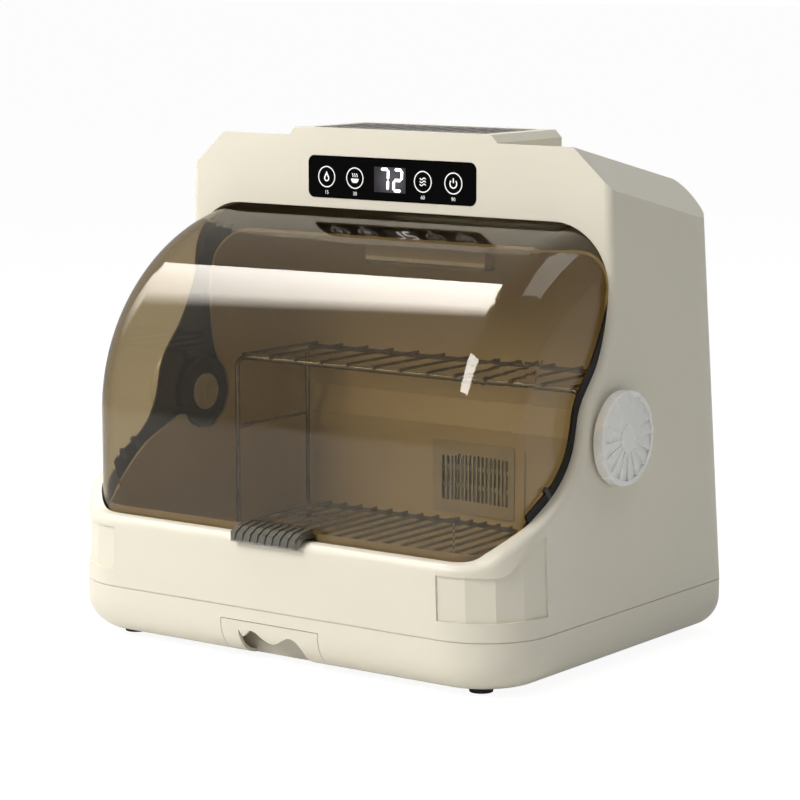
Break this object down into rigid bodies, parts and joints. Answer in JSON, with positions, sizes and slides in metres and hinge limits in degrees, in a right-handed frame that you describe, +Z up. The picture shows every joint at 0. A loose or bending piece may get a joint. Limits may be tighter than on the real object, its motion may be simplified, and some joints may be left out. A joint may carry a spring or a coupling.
{
  "type": "dish sterilizer cabinet",
  "caption": "Countertop dish sterilizer cabinet with a flip-up smoked lid, wire racks, touch panel on the header, drip tray drawer and a warm-air heater behind.",
  "frame": {"origin": "under the middle of the whole cabinet, on the surface that it stands on", "axes": "+Z up; the front with the lid and drawer faces -Y; X runs across"},
  "size_m": [0.453, 0.3434, 0.4094],
  "materials": {
    "cream_abs": "satin cream moulded plastic",
    "white_abs": "glossy white plastic",
    "grey_plastic": "satin grey plastic",
    "black_plastic": "matte black plastic",
    "smoke_lid": "smoked brown clear plastic, glossy",
    "handle_clear": "grey-beige translucent plastic",
    "liner_plastic": "satin light plastic",
    "tray_plastic": "satin plastic",
    "wire_chrome": "polished plated wire",
    "steel": "plain steel",
    "aluminium": "plain aluminium",
    "foot_rubber": "black rubber",
    "panel_black": "glossy black pane",
    "board_green": "circuit board",
    "lens_clear": "clear plastic",
    "led_yellow": "lamp chips",
    "relay_blue": "moulded relay cases",
    "can_black": "sleeved cans"
  },
  "bodies": {
    "cabinet": {"base_housing": "cream_abs", "outer_shell": "cream_abs", "rear_cover": "cream_abs", "rubber_feet": "foot_rubber", "side_frame_right": "black_plastic", "side_frame_left": "black_plastic", "lid_bumpers": "handle_clear", "liner": "liner_plastic", "drain_spout": "grey_plastic", "air_grille": "grey_plastic", "pivot_bush_right": "black_plastic", "pivot_bush_left": "black_plastic", "control_panel": "panel_black", "display_board": "board_green", "display_module": "white_abs", "touch_springs": "steel", "top_vent_panel": "black_plastic", "heater_frame": "black_plastic", "ptc_heater": "aluminium", "fan_housing": "black_plastic", "fan_motor": "steel", "uv_strip": "aluminium", "uv_lens": "lens_clear", "uv_leds": "led_yellow", "power_board": "board_green", "power_transformer": "steel", "board_capacitors": "can_black", "board_relays": "relay_blue", "power_inlet": "black_plastic", "thermal_cutout": "steel", "case_screws": "steel", "liner_screws": "steel", "cover_screws": "steel"},
    "lid": {"lid": "smoke_lid", "lid_handle": "handle_clear", "hub_right": "black_plastic", "hub_left": "black_plastic", "hub_cap_right": "grey_plastic", "hub_cap_left": "grey_plastic", "pivot_pin_right": "steel", "pivot_pin_left": "steel", "pivot_cap_right": "white_abs", "pivot_cap_left": "white_abs"},
    "drawer": {"drawer_front": "cream_abs", "drip_tray": "tray_plastic"},
    "fan": {"fan_impeller": "black_plastic"},
    "upper_rack_body": {"upper_rack": "wire_chrome"},
    "lower_rack_body": {"lower_rack": "wire_chrome"}
  },
  "joints": [
    {"name": "lid_hinge", "type": "hinge", "parent": "cabinet", "child": "lid", "pos_m": [0, -0.00325, 0.1819], "axis": [-1, 0, 0], "range_deg": [0, 85]},
    {"name": "drawer_slide", "type": "slide", "parent": "cabinet", "child": "drawer", "axis": [0, -1, 0], "range_m": [0, 0.13]},
    {"name": "fan_spin", "type": "hinge", "parent": "cabinet", "child": "fan", "pos_m": [0, 0.14475, 0.1079], "axis": [0, 1, 0], "continuous": true},
    {"name": "upper_rack_lift", "type": "slide", "parent": "cabinet", "child": "upper_rack_body", "axis": [0, 0, 1], "range_m": [0, 0.03]},
    {"name": "lower_rack_lift", "type": "slide", "parent": "cabinet", "child": "lower_rack_body", "axis": [0, 0, 1], "range_m": [0, 0.05]}
  ]
}
